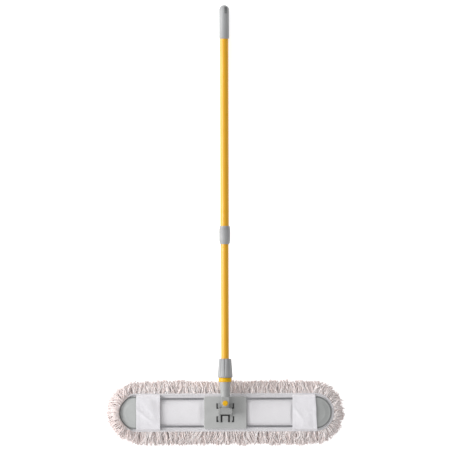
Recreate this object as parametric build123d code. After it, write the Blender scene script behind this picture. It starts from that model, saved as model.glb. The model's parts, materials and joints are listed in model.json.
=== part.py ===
from build123d import *

import math
import os

# A flat dust mop lying on the floor, yarn side down.  +Z is up, +Y runs along the handle to the grip,
# and +X is along the mop head.  The origin is on the floor under the middle of the head.  Millimetres.
#
# The parts of the handle are modelled along +Y, where a distance along the handle from above the
# middle of the head is called a station.  The handle then leans down, about its cross pin, until its
# grip rests on the floor.

# Mop cover
COVER_LENGTH = 614.0
COVER_WIDTH = 108.0
FRINGE_LENGTH = 669.0
FRINGE_WIDTH = 181.0
FRINGE_STEP = 16.0  # the fringe is this much narrower, all round, above its lower half
FRINGE_MIDDLE = 10.0
BINDING_WIDTH = 3.1
BINDING_BOTTOM = 18.4
BINDING_TOP = 25.5
YARN_HEIGHT = 19.0
BACKING_THICKNESS = 1.6
BAND_INNER_X = 186.3
BAND_OUTER_X = 253.7
BAND_THICKNESS = 1.1
BAND_BASE = 50.8  # half width of a band where it's sewn to the backing
BAND_SHOULDER = 47.6  # half width of a band at its top

# Frame
FRAME_LENGTH = 600.0
FRAME_WIDTH = 91.0
FRAME_BOTTOM = 21.3
ROD_DIAMETER = 5.0
ROD_SPACING = 78.0
ROD_HEIGHT = 26.0
ROD_LENGTH = 500.0
SNUG = 0.05  # radial clearance of a pin or rod in its hole

# End caps
CAP_INNER_X = 196.0
CAP_BRIM_TOP = 29.8
CAP_TOP = 32.0
CAP_BEVEL_OUTER = 38.0
CAP_BEVEL_INNER = 27.0
CAP_FALL = 8.0  # degrees

CAP_CENTRE_X = (FRAME_LENGTH - FRAME_WIDTH) / 2  # of its round end; the top falls away from here

# Centre plate
PLATE_LENGTH = 120.5
PLATE_CORNER = 4.5
PLATE_TOP = 31.0
PLATE_SKIN = 2.2
PLATE_WALL = 2.5
UNDER_PLATE_THICKNESS = 2.05
OUTER_SLOT_X = (19.0, 25.0)
REAR_SLOT_Y = (11.0, 26.5)
FRONT_SLOT_Y = (-26.5, -10.0)
TONGUE_HALF_WIDTH = 8.0
TONGUE_ROOT_Y = -27.0
TONGUE_TIP_Y = -9.0
TONGUE_GAP = 3.5
SCREW_X = 48.0
SCREW_Y = 24.0
SCREW_RADIUS = 1.48
SCREW_HEAD_RADIUS = 3.0
SCREW_TOP = 28.3

# Swivel bracket and cross pin
PIVOT_HEIGHT = 52.0
PIVOT_STATION = 5.5  # the cross pin is a little behind the middle of the head
BRACKET_THICKNESS = 2.5
BRACKET_FRONT = -27.0
BRACKET_REAR = 25.0
EAR_INNER = 13.8
EAR_OUTER = 18.5
EAR_RADIUS = 9.0
EAR_BASE = 11.0
CROSS_PIN_RADIUS = 3.0
CROSS_PIN_LENGTH = 40.0
PUSH_NUT_RADIUS = 5.0
PUSH_NUT_THICKNESS = 0.9

# Yoke and swing pin
YOKE_HALF_WIDTH = 13.6
YOKE_RADIUS = 8.5
YOKE_SHOULDER = 15.0  # station where the yoke narrows to its tongue
SWING_STATION = 28.5
YOKE_TONGUE_RADIUS = 9.5
YOKE_TONGUE_HALF_THICKNESS = 6.0
FORK_GAP = 6.5
FORK_HALF_THICKNESS = 12.0
FORK_RADIUS = 11.5
FORK_ROOT = 39.2
SWING_PIN_RADIUS = 4.0
SWING_CAP_RADIUS = 7.5

# Handle socket and clamp
SOCKET_FLOOR = 46.0  # station where the lower tube bottoms out
SOCKET_END = 88.0
SOCKET_RADIUS = 15.7
SPIGOT_RADIUS = 15.0
SPIGOT_END = 122.0
COLLET_SEAT = 98.0
RING_END = 99.8
RING_RADIUS = 18.5
NUT_START = 100.2
NUT_END = 153.0
NUT_BIG_RADIUS = 21.0
NUT_SMALL_RADIUS = 17.4
NUT_FLUTES = 10
FLUTE_RADIUS = 4.0
COLLET_START = 105.0
COLLET_END = 147.6
COLLET_RADIUS = 12.9
COLLET_SLITS = 4

# Telescopic handle
LOWER_TUBE_RADIUS = 11.0
LOWER_TUBE_BORE = 10.0
LOWER_TUBE_END = 665.0
UPPER_TUBE_RADIUS = 12.0
UPPER_TUBE_BORE = 11.3
UPPER_TUBE_START = 482.4
UPPER_TUBE_END = 1112.0
LOCK_OFFSET = 0.3  # eccentricity of the lock's spindle
SPINDLE_RADIUS = 6.0
SPINDLE_LENGTH = 30.0
PLUG_DEPTH = 20.0
PLUG_FLANGE = 2.0
CAM_RADIUS = 11.22
CAM_BORE = 6.5
COLLAR_START = 475.0
COLLAR_END = 525.7
COLLAR_RADIUS = 15.6
BUSHING_START = 476.2
BUSHING_END = 482.2
BUSHING_RADIUS = 12.9

# Grip
GRIP_START = 1054.2
GRIP_END = 1150.4
GRIP_RADIUS = 13.9
GRIP_BORE_END = 1112.4
HANG_SLOT_STATION = 1134.5
HANG_SLOT_LENGTH = 20.5
HANG_SLOT_WIDTH = 10.5
HANG_SLOT_TURN = 24.0  # degrees about the handle's axis

GRIP_TIP_STATION = GRIP_END - GRIP_RADIUS  # centre of the grip's round end
LEAN = math.degrees(math.asin((PIVOT_HEIGHT - GRIP_RADIUS) / (GRIP_TIP_STATION - PIVOT_STATION)))

SIDES = (-1, 1)
CORNERS = [(sx, sy) for sx in SIDES for sy in SIDES]


def block(x, y, z):
    """A box from its (low, high) span along each axis."""
    size = [high - low for low, high in (x, y, z)]
    centre = [(low + high) / 2 for low, high in (x, y, z)]
    return Pos(*centre) * Box(*size)


def rod_along_x(radius, half_length, y, z):
    return Pos(0, y, z) * Rot(0, 90, 0) * Cylinder(radius, 2 * half_length)


def prism(sketch, bottom, top):
    """An upright prism of a sketch between two heights."""
    return Pos(0, 0, bottom) * extrude(sketch, top - bottom)


def turned(profile):
    """A solid turned about the handle's axis, from (radius, station) points."""
    return revolve(make_face(Polyline(*profile, close=True)), Axis.Y)


def sleeve(outer, inner, start, end):
    """A plain tube along the handle, between two stations."""
    return turned([(inner, start), (outer, start), (outer, end), (inner, end)])


def leaned(shape):
    """Puts a part that was modelled along the handle into its place on the mop."""
    return Pos(0, PIVOT_STATION, PIVOT_HEIGHT) * Rot(-LEAN, 0, 0) * Pos(0, -PIVOT_STATION, 0) * shape


# Mop cover: soft parts as plain solids


def cover_outline(inset=0.0):
    return SlotOverall(COVER_LENGTH - 2 * inset, COVER_WIDTH - 2 * inset)


def fringe_outline(inset=0.0):
    return SlotOverall(FRINGE_LENGTH - 2 * inset, FRINGE_WIDTH - 2 * inset)


def yarn_pad():
    return prism(cover_outline(BINDING_WIDTH), 0, YARN_HEIGHT)


def yarn_fringe():
    """The ring of yarn round the cover, low at its outer edge."""
    ring = prism(fringe_outline(), 0, FRINGE_MIDDLE)
    ring += prism(fringe_outline(FRINGE_STEP), FRINGE_MIDDLE, BINDING_BOTTOM)
    return ring - prism(cover_outline(BINDING_WIDTH), -1, YARN_HEIGHT)


def backing_cloth():
    return prism(cover_outline(BINDING_WIDTH), YARN_HEIGHT, YARN_HEIGHT + BACKING_THICKNESS)


def edge_binding():
    ring = prism(cover_outline(), BINDING_BOTTOM, BINDING_TOP)
    return ring - prism(cover_outline(BINDING_WIDTH), BINDING_BOTTOM - 1, BINDING_TOP + 1)


def pocket_band(side):
    """An arch of cloth over the frame, sewn to the backing along its two feet."""
    foot = YARN_HEIGHT + BACKING_THICKNESS
    inside_top = CAP_TOP + 0.3
    top = inside_top + BAND_THICKNESS
    outer = [(-BAND_BASE, foot), (BAND_BASE, foot), (BAND_SHOULDER, top), (-BAND_SHOULDER, top)]
    base = BAND_BASE - BAND_THICKNESS
    shoulder = BAND_SHOULDER - BAND_THICKNESS
    inner = [(-base, foot - 1), (base, foot - 1), (shoulder, inside_top), (-shoulder, inside_top)]
    section = make_face(Polyline(*outer, close=True)) - make_face(Polyline(*inner, close=True))
    arch = extrude(Plane.YZ * section, BAND_OUTER_X - BAND_INNER_X)
    return Pos(BAND_INNER_X if side > 0 else -BAND_OUTER_X, 0, 0) * arch


# Frame


def cap_bevel():
    """The raised middle of a cap: level and straight under the band, then falling to the tip."""
    low, high = CAP_BRIM_TOP - 1, CAP_TOP
    slope = (CAP_BEVEL_OUTER - CAP_BEVEL_INNER) / (CAP_TOP - CAP_BRIM_TOP)
    foot = CAP_BEVEL_OUTER + slope
    section = make_face(
        Polyline(
            (-foot, low), (foot, low), (CAP_BEVEL_INNER, high), (-CAP_BEVEL_INNER, high), close=True
        )
    )
    level = Pos(CAP_INNER_X, 0, 0) * extrude(Plane.YZ * section, CAP_CENTRE_X - CAP_INNER_X)
    tilt = Pos(CAP_CENTRE_X, 0, CAP_BRIM_TOP) * Rot(0, CAP_FALL, 0)
    cone = Pos(0, 0, (high - low) / 2 - 1) * Cone(foot, CAP_BEVEL_INNER, high - low)
    tip = (tilt * cone) & block((CAP_CENTRE_X, FRAME_LENGTH), (-99, 99), (0, 99))
    return level + tip


def end_cap(side):
    """A moulded cap over one end of the frame, with blind holes for the two rods."""
    outline = Pos(CAP_CENTRE_X, 0) * Circle(FRAME_WIDTH / 2)
    outline += Pos((CAP_INNER_X + CAP_CENTRE_X) / 2, 0) * Rectangle(CAP_CENTRE_X - CAP_INNER_X, FRAME_WIDTH)
    cap = prism(outline, FRAME_BOTTOM, CAP_BRIM_TOP)
    above = Pos(CAP_CENTRE_X, 0, CAP_BRIM_TOP) * Rot(0, CAP_FALL, 0) * block((0, 99), (-99, 99), (0, 99))
    cap -= above
    rim = [edge for edge in cap.edges() if (edge @ 0.5).Z > FRAME_BOTTOM + 1 and (edge @ 0.5).X > 299]
    cap = fillet(rim, 1.2)
    cap += cap_bevel() & prism(outline, FRAME_BOTTOM, CAP_TOP)
    for cell in range(3):
        start = CAP_INNER_X + 3 + 17 * cell
        cap -= block((start, start + 14), (-31, 31), (0, 28.4))
    for sy in SIDES:
        hole = Pos(0, sy * ROD_SPACING / 2, ROD_HEIGHT) * Rot(0, 90, 0)
        cap -= hole * Cylinder(ROD_DIAMETER / 2 + SNUG, ROD_LENGTH + 1)
    return cap if side > 0 else mirror(cap, about=Plane.YZ)


def frame_rod(side):
    rod = rod_along_x(ROD_DIAMETER / 2, ROD_LENGTH / 2, side * ROD_SPACING / 2, ROD_HEIGHT)
    return chamfer(rod.edges(), 0.5)


def centre_plate():
    """A shallow box that is open below, with channels for the rods and a spring tongue in its top."""
    ceiling = PLATE_TOP - PLATE_SKIN
    channel_bottom = FRAME_BOTTOM + UNDER_PLATE_THICKNESS + SNUG
    plate = prism(RectangleRounded(PLATE_LENGTH, FRAME_WIDTH, PLATE_CORNER), FRAME_BOTTOM, PLATE_TOP)
    plate = fillet(plate.faces().sort_by(Axis.Z)[-1].edges(), 1.8)
    inner_length = PLATE_LENGTH - 2 * PLATE_WALL
    inner_width = FRAME_WIDTH - 2 * PLATE_WALL
    inner = RectangleRounded(inner_length, inner_width, PLATE_CORNER - PLATE_WALL)
    plate -= prism(inner, FRAME_BOTTOM - 1, ceiling)
    for sy in SIDES:
        channel = block((-inner_length / 2, inner_length / 2), (-4.2, 4.2), (channel_bottom, ceiling))
        plate += Pos(0, sy * ROD_SPACING / 2, 0) * channel
    for sx, sy in CORNERS:
        plate += Pos(sx * SCREW_X, sy * SCREW_Y, 0) * prism(Circle(4), channel_bottom, ceiling)
    for sy in SIDES:
        plate -= rod_along_x(
            ROD_DIAMETER / 2 + SNUG, PLATE_LENGTH, sy * ROD_SPACING / 2, ROD_HEIGHT
        )
    for sx, sy in CORNERS:
        hole = prism(Circle(SCREW_RADIUS + SNUG), 0, SCREW_TOP + 0.2)
        plate -= Pos(sx * SCREW_X, sy * SCREW_Y, 0) * hole
    plate -= plate_slots()
    return plate + tongue_catch()


def plate_slots():
    """The slots that take the bracket's feet, and the cuts that free the spring tongue."""
    through = (PLATE_TOP - PLATE_SKIN - 1, PLATE_TOP + 1)
    low, high = OUTER_SLOT_X
    cuts = []
    for span in (REAR_SLOT_Y, FRONT_SLOT_Y):
        cuts += [block((low, high), span, through), block((-high, -low), span, through)]
    slit_rear = TONGUE_TIP_Y + TONGUE_GAP
    tongue, outer = TONGUE_HALF_WIDTH, EAR_INNER - 0.8
    cuts.append(block((-outer, outer), (TONGUE_TIP_Y, slit_rear), through))
    for edges in ((tongue, outer), (-outer, -tongue)):
        cuts.append(block(edges, (TONGUE_ROOT_Y, slit_rear), through))
    return Part() + cuts


def tongue_catch():
    """The ramp on the tongue's end that holds the bracket, and three ribs for a fingertip."""
    half = TONGUE_HALF_WIDTH
    tip = TONGUE_TIP_Y
    ramp = Polyline((tip - 5, PLATE_TOP), (tip, PLATE_TOP), (tip, PLATE_TOP + 1.9), close=True)
    catch = Pos(-half, 0, 0) * extrude(Plane.YZ * make_face(ramp), 2 * half)
    for rib in range(3):
        y = TONGUE_ROOT_Y + 2 + 3 * rib
        catch += block((-half + 1, half - 1), (y, y + 1.2), (PLATE_TOP, PLATE_TOP + 0.6))
    return catch


def under_plate():
    """Closes the rods into the centre plate from below."""
    inset = PLATE_WALL + 0.2
    outline = RectangleRounded(
        PLATE_LENGTH - 2 * inset, FRAME_WIDTH - 2 * inset, PLATE_CORNER - inset
    )
    top = FRAME_BOTTOM + UNDER_PLATE_THICKNESS
    plate = prism(outline, FRAME_BOTTOM, top)
    for sx, sy in CORNERS:
        plate -= Pos(sx * SCREW_X, sy * SCREW_Y, 0) * screw(SNUG)
    return plate


def screw(growth=0.0):
    """A countersunk screw, head down, or the hole for one when it's grown."""
    neck = SCREW_HEAD_RADIUS - SCREW_RADIUS
    body = prism(Circle(SCREW_RADIUS + growth), FRAME_BOTTOM, SCREW_TOP)
    head = Cone(SCREW_HEAD_RADIUS + growth, SCREW_RADIUS + growth, neck)
    return body + Pos(0, 0, FRAME_BOTTOM + neck / 2) * head


def plate_screws():
    cross = Box(3.2, 0.8, 2) + Box(0.8, 3.2, 2)
    one = screw() - Pos(0, 0, FRAME_BOTTOM) * cross
    return Compound([Pos(sx * SCREW_X, sy * SCREW_Y, 0) * one for sx, sy in CORNERS])


# Swivel bracket and its pin


def bracket_foot(sx, slot):
    """A hooked foot: it drops through a slot, and its hook catches under the rear end."""
    rear = slot[1] - 0.3
    front = rear - 11.5
    low, high = PLATE_TOP - PLATE_SKIN - 2.2, PLATE_TOP + BRACKET_THICKNESS
    inner, outer = EAR_OUTER + 0.7, EAR_OUTER + 2.6
    foot = block((EAR_OUTER - 1, outer), (front, rear), (PLATE_TOP, high))
    foot += block((inner, outer), (front, rear), (low, high))
    foot += block((inner, outer), (front, rear + 3), (low, PLATE_TOP - PLATE_SKIN - 0.1))
    return foot if sx > 0 else mirror(foot, about=Plane.YZ)


def swivel_bracket():
    """Two rails and a web on the plate, with an ear on each rail for the cross pin."""
    base_top = PLATE_TOP + BRACKET_THICKNESS
    rail_inner = EAR_INNER - 0.6
    bracket = block((-rail_inner, rail_inner), (TONGUE_TIP_Y + 4.4, BRACKET_REAR), (PLATE_TOP, base_top))
    outline = Polyline(
        (-EAR_BASE, PLATE_TOP),
        (EAR_BASE, PLATE_TOP),
        (EAR_RADIUS, PIVOT_HEIGHT),
        (-EAR_RADIUS, PIVOT_HEIGHT),
        close=True,
    )
    profile = make_face(outline) + Pos(0, PIVOT_HEIGHT) * Circle(EAR_RADIUS)
    for low, high in ((EAR_INNER, EAR_OUTER), (-EAR_OUTER, -EAR_INNER)):
        bracket += Pos(low, PIVOT_STATION, 0) * extrude(Plane.YZ * profile, high - low)
    for low, high in ((rail_inner, EAR_OUTER), (-EAR_OUTER, -rail_inner)):
        bracket += block((low, high), (BRACKET_FRONT, BRACKET_REAR), (PLATE_TOP, base_top))
    for sx in SIDES:
        bracket += bracket_foot(sx, REAR_SLOT_Y) + bracket_foot(sx, FRONT_SLOT_Y)
    return bracket - rod_along_x(CROSS_PIN_RADIUS + SNUG, 30, PIVOT_STATION, PIVOT_HEIGHT)


def cross_pin():
    pin = rod_along_x(CROSS_PIN_RADIUS, CROSS_PIN_LENGTH / 2, PIVOT_STATION, PIVOT_HEIGHT)
    return chamfer(pin.edges(), 0.4)


def pin_push_nuts():
    """A dished push nut on each end of the cross pin."""
    nuts = []
    for sx in SIDES:
        x = sx * (EAR_OUTER + 0.05 + PUSH_NUT_THICKNESS / 2)
        nut = Cylinder(PUSH_NUT_RADIUS, PUSH_NUT_THICKNESS)
        nut -= Cylinder(CROSS_PIN_RADIUS + SNUG, 2 * PUSH_NUT_THICKNESS)
        nuts.append(Pos(x, PIVOT_STATION, PIVOT_HEIGHT) * Rot(0, 90, 0) * nut)
    return Compound(nuts)


# Yoke and handle socket, along the handle


def yoke():
    """A barrel on the cross pin, narrowing to a tongue with the swing pin's eye in it."""
    pivot = PIVOT_STATION
    barrel = rod_along_x(YOKE_RADIUS, YOKE_HALF_WIDTH, pivot, 0)
    shoulder = YOKE_TONGUE_RADIUS + 3
    arm_end = pivot + YOKE_RADIUS - 1
    arms = make_face(
        Polyline(
            (-YOKE_HALF_WIDTH, pivot),
            (YOKE_HALF_WIDTH, pivot),
            (YOKE_HALF_WIDTH, arm_end),
            (shoulder, YOKE_SHOULDER),
            (-shoulder, YOKE_SHOULDER),
            (-YOKE_HALF_WIDTH, arm_end),
            close=True,
        )
    )
    half = YOKE_TONGUE_HALF_THICKNESS
    reach = SWING_STATION - pivot
    tongue = Pos(0, pivot + reach / 2) * Rectangle(2 * YOKE_TONGUE_RADIUS, reach)
    tongue += Pos(0, SWING_STATION) * Circle(YOKE_TONGUE_RADIUS)
    body = barrel + prism(arms, -YOKE_RADIUS + 1.5, YOKE_RADIUS - 1.5) + prism(tongue, -half, half)
    body -= rod_along_x(CROSS_PIN_RADIUS + SNUG, 30, pivot, 0)
    body -= Pos(0, SWING_STATION, 0) * Cylinder(SWING_PIN_RADIUS + SNUG, 40)
    return leaned(body)


def handle_socket():
    """A fork over the yoke's tongue, a tapered cup for the tube, and a spigot for the clamp nut."""
    neck = Pos(0, (SWING_STATION + SOCKET_FLOOR) / 2) * Rectangle(
        2 * FORK_RADIUS, SOCKET_FLOOR - SWING_STATION
    )
    neck += Pos(0, SWING_STATION) * Circle(FORK_RADIUS)
    socket = prism(neck, -FORK_HALF_THICKNESS, FORK_HALF_THICKNESS)
    socket = chamfer(socket.faces().filter_by(Axis.Z).edges().filter_by(GeomType.CIRCLE), 1.0)
    cup = [
        (0, FORK_ROOT),
        (FORK_RADIUS, FORK_ROOT),
        (FORK_RADIUS + 0.7, SOCKET_FLOOR),
        (SOCKET_RADIUS - 1.6, SOCKET_END - 22),
        (SOCKET_RADIUS, SOCKET_END - 4),
        (SOCKET_RADIUS, SOCKET_END),
        (SPIGOT_RADIUS, SOCKET_END),
        (SPIGOT_RADIUS, SPIGOT_END - 0.6),
        (SPIGOT_RADIUS - 0.6, SPIGOT_END),
        (0, SPIGOT_END),
    ]
    socket += turned(cup)
    socket -= sleeve(LOWER_TUBE_RADIUS + SNUG, 0, SOCKET_FLOOR, SPIGOT_END + 1)
    socket -= sleeve(COLLET_RADIUS + 0.3, 0, COLLET_SEAT, SPIGOT_END + 1)
    socket -= block((-30, 30), (0, FORK_ROOT), (-FORK_GAP, FORK_GAP))
    socket -= Pos(0, SWING_STATION, 0) * Cylinder(SWING_PIN_RADIUS + SNUG, 40)
    return leaned(socket)


def swing_pin():
    """A headed pin that goes up through the fork from below."""
    head = 1.8
    shank = prism(Circle(SWING_PIN_RADIUS), -FORK_HALF_THICKNESS - head, FORK_HALF_THICKNESS - 0.1)
    base = prism(Circle(6), -FORK_HALF_THICKNESS - head, -FORK_HALF_THICKNESS - 0.02)
    return leaned(Pos(0, SWING_STATION, 0) * (shank + base))


def swing_pin_cap():
    """The domed cap over the pin's upper end."""
    foot = FORK_HALF_THICKNESS + 0.05
    cap = prism(Circle(SWING_CAP_RADIUS), foot, foot + 2.6)
    cap = fillet(cap.faces().sort_by(Axis.Z)[-1].edges(), 1.5)
    return leaned(Pos(0, SWING_STATION, 0) * cap)


def accent_ring():
    bore = SPIGOT_RADIUS + SNUG
    start = SOCKET_END + 0.05
    profile = [
        (bore, start),
        (RING_RADIUS - 1, start),
        (RING_RADIUS, start + 1.5),
        (RING_RADIUS, RING_END - 1.5),
        (RING_RADIUS - 1, RING_END),
        (bore, RING_END),
    ]
    return leaned(turned(profile))


# Clamp


def clamp_collet():
    """A sleeve round the lower tube, slit from both ends so that it closes on the tube."""
    bore = LOWER_TUBE_RADIUS + 0.08
    profile = [
        (bore, COLLET_START),
        (COLLET_RADIUS - 0.8, COLLET_START),
        (COLLET_RADIUS, COLLET_START + 5),
        (COLLET_RADIUS, COLLET_END - 5),
        (COLLET_RADIUS - 0.8, COLLET_END),
        (bore, COLLET_END),
    ]
    collet = turned(profile)
    for slit in range(COLLET_SLITS):
        turn = Rot(0, slit * 360 / COLLET_SLITS, 0)
        other = Rot(0, (slit + 0.5) * 360 / COLLET_SLITS, 0)
        collet -= turn * block((5, 20), (COLLET_START - 1, COLLET_END - 10), (-0.7, 0.7))
        collet -= other * block((5, 20), (COLLET_START + 10, COLLET_END + 1), (-0.7, 0.7))
    return leaned(collet)


def clamp_nut():
    """A tapered hand nut with a flute for each finger, deeper toward its narrow end."""
    thread_bore = SPIGOT_RADIUS + 0.08
    collet_bore = COLLET_RADIUS + 0.1
    tube_bore = LOWER_TUBE_RADIUS + 0.3
    profile = [
        (thread_bore, NUT_START),
        (NUT_BIG_RADIUS - 0.8, NUT_START),
        (NUT_BIG_RADIUS, NUT_START + 1.2),
        (NUT_BIG_RADIUS - 0.3, NUT_START + 9),
        (NUT_SMALL_RADIUS, NUT_END - 1.5),
        (NUT_SMALL_RADIUS - 1.5, NUT_END),
        (tube_bore, NUT_END),
        (tube_bore, COLLET_END + 0.1),
        (collet_bore, COLLET_END + 0.1),
        (collet_bore, SPIGOT_END + 1),
        (thread_bore, SPIGOT_END + 1),
    ]
    nut = turned(profile)
    start = Vector(NUT_BIG_RADIUS + FLUTE_RADIUS - 0.9, NUT_START + 6, 0)
    end = Vector(NUT_SMALL_RADIUS + FLUTE_RADIUS - 2.0, NUT_END, 0)
    line = Plane(origin=start, z_dir=end - start)
    flute = extrude(line * Circle(FLUTE_RADIUS), (end - start).length + 5)
    flute += Pos(*start) * Sphere(FLUTE_RADIUS)
    for turn in range(NUT_FLUTES):
        nut -= Rot(0, (turn + 0.5) * 360 / NUT_FLUTES, 0) * flute
    return leaned(nut)


# Telescopic handle


def lower_tube():
    return leaned(sleeve(LOWER_TUBE_RADIUS, LOWER_TUBE_BORE, SOCKET_FLOOR + 0.5, LOWER_TUBE_END))


def tube_plug():
    """Closes the lower tube, and carries the spindle that the lock cam turns on."""
    flange_end = LOWER_TUBE_END + PLUG_FLANGE
    spindle_end = flange_end + SPINDLE_LENGTH
    plug = sleeve(LOWER_TUBE_BORE - SNUG, 0, LOWER_TUBE_END - PLUG_DEPTH, LOWER_TUBE_END + 1)
    plug += sleeve(LOWER_TUBE_RADIUS - 0.1, 0, LOWER_TUBE_END + 0.05, flange_end)
    plug += Pos(LOCK_OFFSET, 0, 0) * sleeve(SPINDLE_RADIUS, 0, flange_end - 1, spindle_end + 1)
    plug += sleeve(LOWER_TUBE_RADIUS - 0.6, 0, spindle_end, spindle_end + PLUG_FLANGE)
    return leaned(plug)


def lock_cam():
    """A split ring on the spindle, which spreads against the upper tube when it's twisted."""
    start = LOWER_TUBE_END + PLUG_FLANGE + 0.3
    end = start + SPINDLE_LENGTH - 0.6
    cam = sleeve(CAM_RADIUS, 0, start, end)
    cam -= Pos(LOCK_OFFSET, 0, 0) * sleeve(CAM_BORE, 0, start - 1, end + 1)
    return leaned(cam - block((-20, 0), (start - 1, end + 1), (-1.25, 1.25)))


def upper_tube():
    return leaned(sleeve(UPPER_TUBE_RADIUS, UPPER_TUBE_BORE, UPPER_TUBE_START, UPPER_TUBE_END))


def tube_collar():
    """The collar on the upper tube's lower end, with three ring grooves at its top."""
    tube_bore = UPPER_TUBE_RADIUS + SNUG
    recess = BUSHING_RADIUS + SNUG
    lip = LOWER_TUBE_RADIUS + 0.3
    profile = [
        (lip, COLLAR_START),
        (COLLAR_RADIUS - 2.6, COLLAR_START),
        (COLLAR_RADIUS, COLLAR_START + 10),
        (COLLAR_RADIUS, COLLAR_END - 11),
        (COLLAR_RADIUS - 1.1, COLLAR_END),
        (tube_bore, COLLAR_END),
        (tube_bore, UPPER_TUBE_START),
        (recess, UPPER_TUBE_START),
        (recess, BUSHING_START - 0.05),
        (lip, BUSHING_START - 0.05),
    ]
    collar = turned(profile)
    for groove in range(3):
        station = COLLAR_END - 3.5 - 3.5 * groove
        collar -= sleeve(COLLAR_RADIUS + 1, COLLAR_RADIUS - 1.3 + 0.25 * groove, station, station + 0.9)
    return leaned(collar)


def collar_bushing():
    """A wear ring that guides the collar on the lower tube."""
    return leaned(sleeve(BUSHING_RADIUS, LOWER_TUBE_RADIUS + 0.07, BUSHING_START, BUSHING_END))


def grip():
    """A closed sleeve over the tube's end, with a slot through it to hang the mop by."""
    profile = [
        (0, GRIP_START),
        (GRIP_RADIUS - 1.4, GRIP_START),
        (GRIP_RADIUS + 0.2, GRIP_START + 4),
        (GRIP_RADIUS + 0.2, GRIP_START + 8),
        (GRIP_RADIUS, GRIP_START + 14),
        (GRIP_RADIUS, GRIP_TIP_STATION),
        (0, GRIP_TIP_STATION),
    ]
    body = turned(profile) + Pos(0, GRIP_TIP_STATION, 0) * Sphere(GRIP_RADIUS)
    slot = prism(Rot(0, 0, 90) * SlotOverall(HANG_SLOT_LENGTH, HANG_SLOT_WIDTH), -20, 20)
    body -= Rot(0, HANG_SLOT_TURN, 0) * Pos(0, HANG_SLOT_STATION, 0) * slot
    body -= sleeve(UPPER_TUBE_RADIUS + SNUG, 0, GRIP_START - 1, GRIP_BORE_END)
    return leaned(body)


NODES = {
    "yarn_pad": yarn_pad(),
    "yarn_fringe": yarn_fringe(),
    "backing_cloth": backing_cloth(),
    "edge_binding": edge_binding(),
    "pocket_band_left": pocket_band(-1),
    "pocket_band_right": pocket_band(1),
    "end_cap_left": end_cap(-1),
    "end_cap_right": end_cap(1),
    "frame_rod_front": frame_rod(-1),
    "frame_rod_rear": frame_rod(1),
    "centre_plate": centre_plate(),
    "under_plate": under_plate(),
    "plate_screws": plate_screws(),
    "swivel_bracket": swivel_bracket(),
    "cross_pin": cross_pin(),
    "pin_push_nuts": pin_push_nuts(),
    "yoke": yoke(),
    "handle_socket": handle_socket(),
    "swing_pin": swing_pin(),
    "swing_pin_cap": swing_pin_cap(),
    "accent_ring": accent_ring(),
    "clamp_collet": clamp_collet(),
    "clamp_nut": clamp_nut(),
    "lower_tube": lower_tube(),
    "tube_plug": tube_plug(),
    "lock_cam": lock_cam(),
    "upper_tube": upper_tube(),
    "tube_collar": tube_collar(),
    "collar_bushing": collar_bushing(),
    "grip": grip(),
}

os.makedirs("parts", exist_ok=True)
for name, shape in NODES.items():
    export_step(shape, f"parts/{name}.step")
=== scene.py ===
"""How a flat dust mop looks as it lies on the floor, seen from above.

Lengths are in metres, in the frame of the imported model: +Z is up, +Y runs along the handle to the
grip, +X runs along the mop head, and the origin is on the floor under the middle of the head.
"""

import json
import math

import bpy
import numpy as np
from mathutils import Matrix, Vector, noise


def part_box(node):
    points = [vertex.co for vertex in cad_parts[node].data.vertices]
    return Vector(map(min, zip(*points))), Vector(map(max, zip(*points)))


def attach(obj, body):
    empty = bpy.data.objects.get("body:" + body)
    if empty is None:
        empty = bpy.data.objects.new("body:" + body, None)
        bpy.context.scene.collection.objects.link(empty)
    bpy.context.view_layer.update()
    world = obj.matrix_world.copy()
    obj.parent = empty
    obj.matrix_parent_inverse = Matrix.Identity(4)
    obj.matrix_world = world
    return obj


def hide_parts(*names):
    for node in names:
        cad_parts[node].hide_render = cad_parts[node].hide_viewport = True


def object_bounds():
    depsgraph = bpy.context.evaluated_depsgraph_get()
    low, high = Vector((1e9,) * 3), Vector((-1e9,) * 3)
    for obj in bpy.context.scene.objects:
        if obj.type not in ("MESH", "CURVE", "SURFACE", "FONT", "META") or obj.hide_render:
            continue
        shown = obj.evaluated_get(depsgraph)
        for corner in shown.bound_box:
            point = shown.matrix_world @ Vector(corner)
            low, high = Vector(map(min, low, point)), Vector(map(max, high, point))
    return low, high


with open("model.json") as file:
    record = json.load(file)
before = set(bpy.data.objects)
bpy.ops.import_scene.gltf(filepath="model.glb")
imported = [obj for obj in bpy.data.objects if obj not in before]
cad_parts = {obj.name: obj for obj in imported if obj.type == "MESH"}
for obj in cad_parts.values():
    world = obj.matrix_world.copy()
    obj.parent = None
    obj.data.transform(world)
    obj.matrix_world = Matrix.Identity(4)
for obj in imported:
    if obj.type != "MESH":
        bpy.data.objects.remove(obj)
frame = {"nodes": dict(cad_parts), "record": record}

CAD_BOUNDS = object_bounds()
MM = 0.001
HEAD = "head"  # the body that every soft piece rides on


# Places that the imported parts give


def half_size(node):
    """Half of a node's length and half of its width."""
    low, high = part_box(node)
    return (high.x - low.x) / 2, (high.y - low.y) / 2


COVER_HALF, COVER_RADIUS = half_size("edge_binding")
BACKING_HALF, BACKING_RADIUS = half_size("backing_cloth")
BACKING_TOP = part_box("backing_cloth")[1].z
FRINGE_HALF, FRINGE_RADIUS = half_size("yarn_fringe")
YARN_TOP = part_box("yarn_pad")[1].z
PLATE_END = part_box("centre_plate")[1].x
ROD_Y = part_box("frame_rod_rear")[0].y
ROD_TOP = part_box("frame_rod_rear")[1].z
CAP_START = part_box("end_cap_right")[0].x
CAP_HALF, CAP_RADIUS, CAP_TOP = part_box("end_cap_right")[1]
BAND_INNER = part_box("pocket_band_right")[0].x
BAND_OUTER, BAND_FOOT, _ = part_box("pocket_band_right")[1]
BAND_WIDTH = BAND_OUTER - BAND_INNER


# Small tools for shapes


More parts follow.
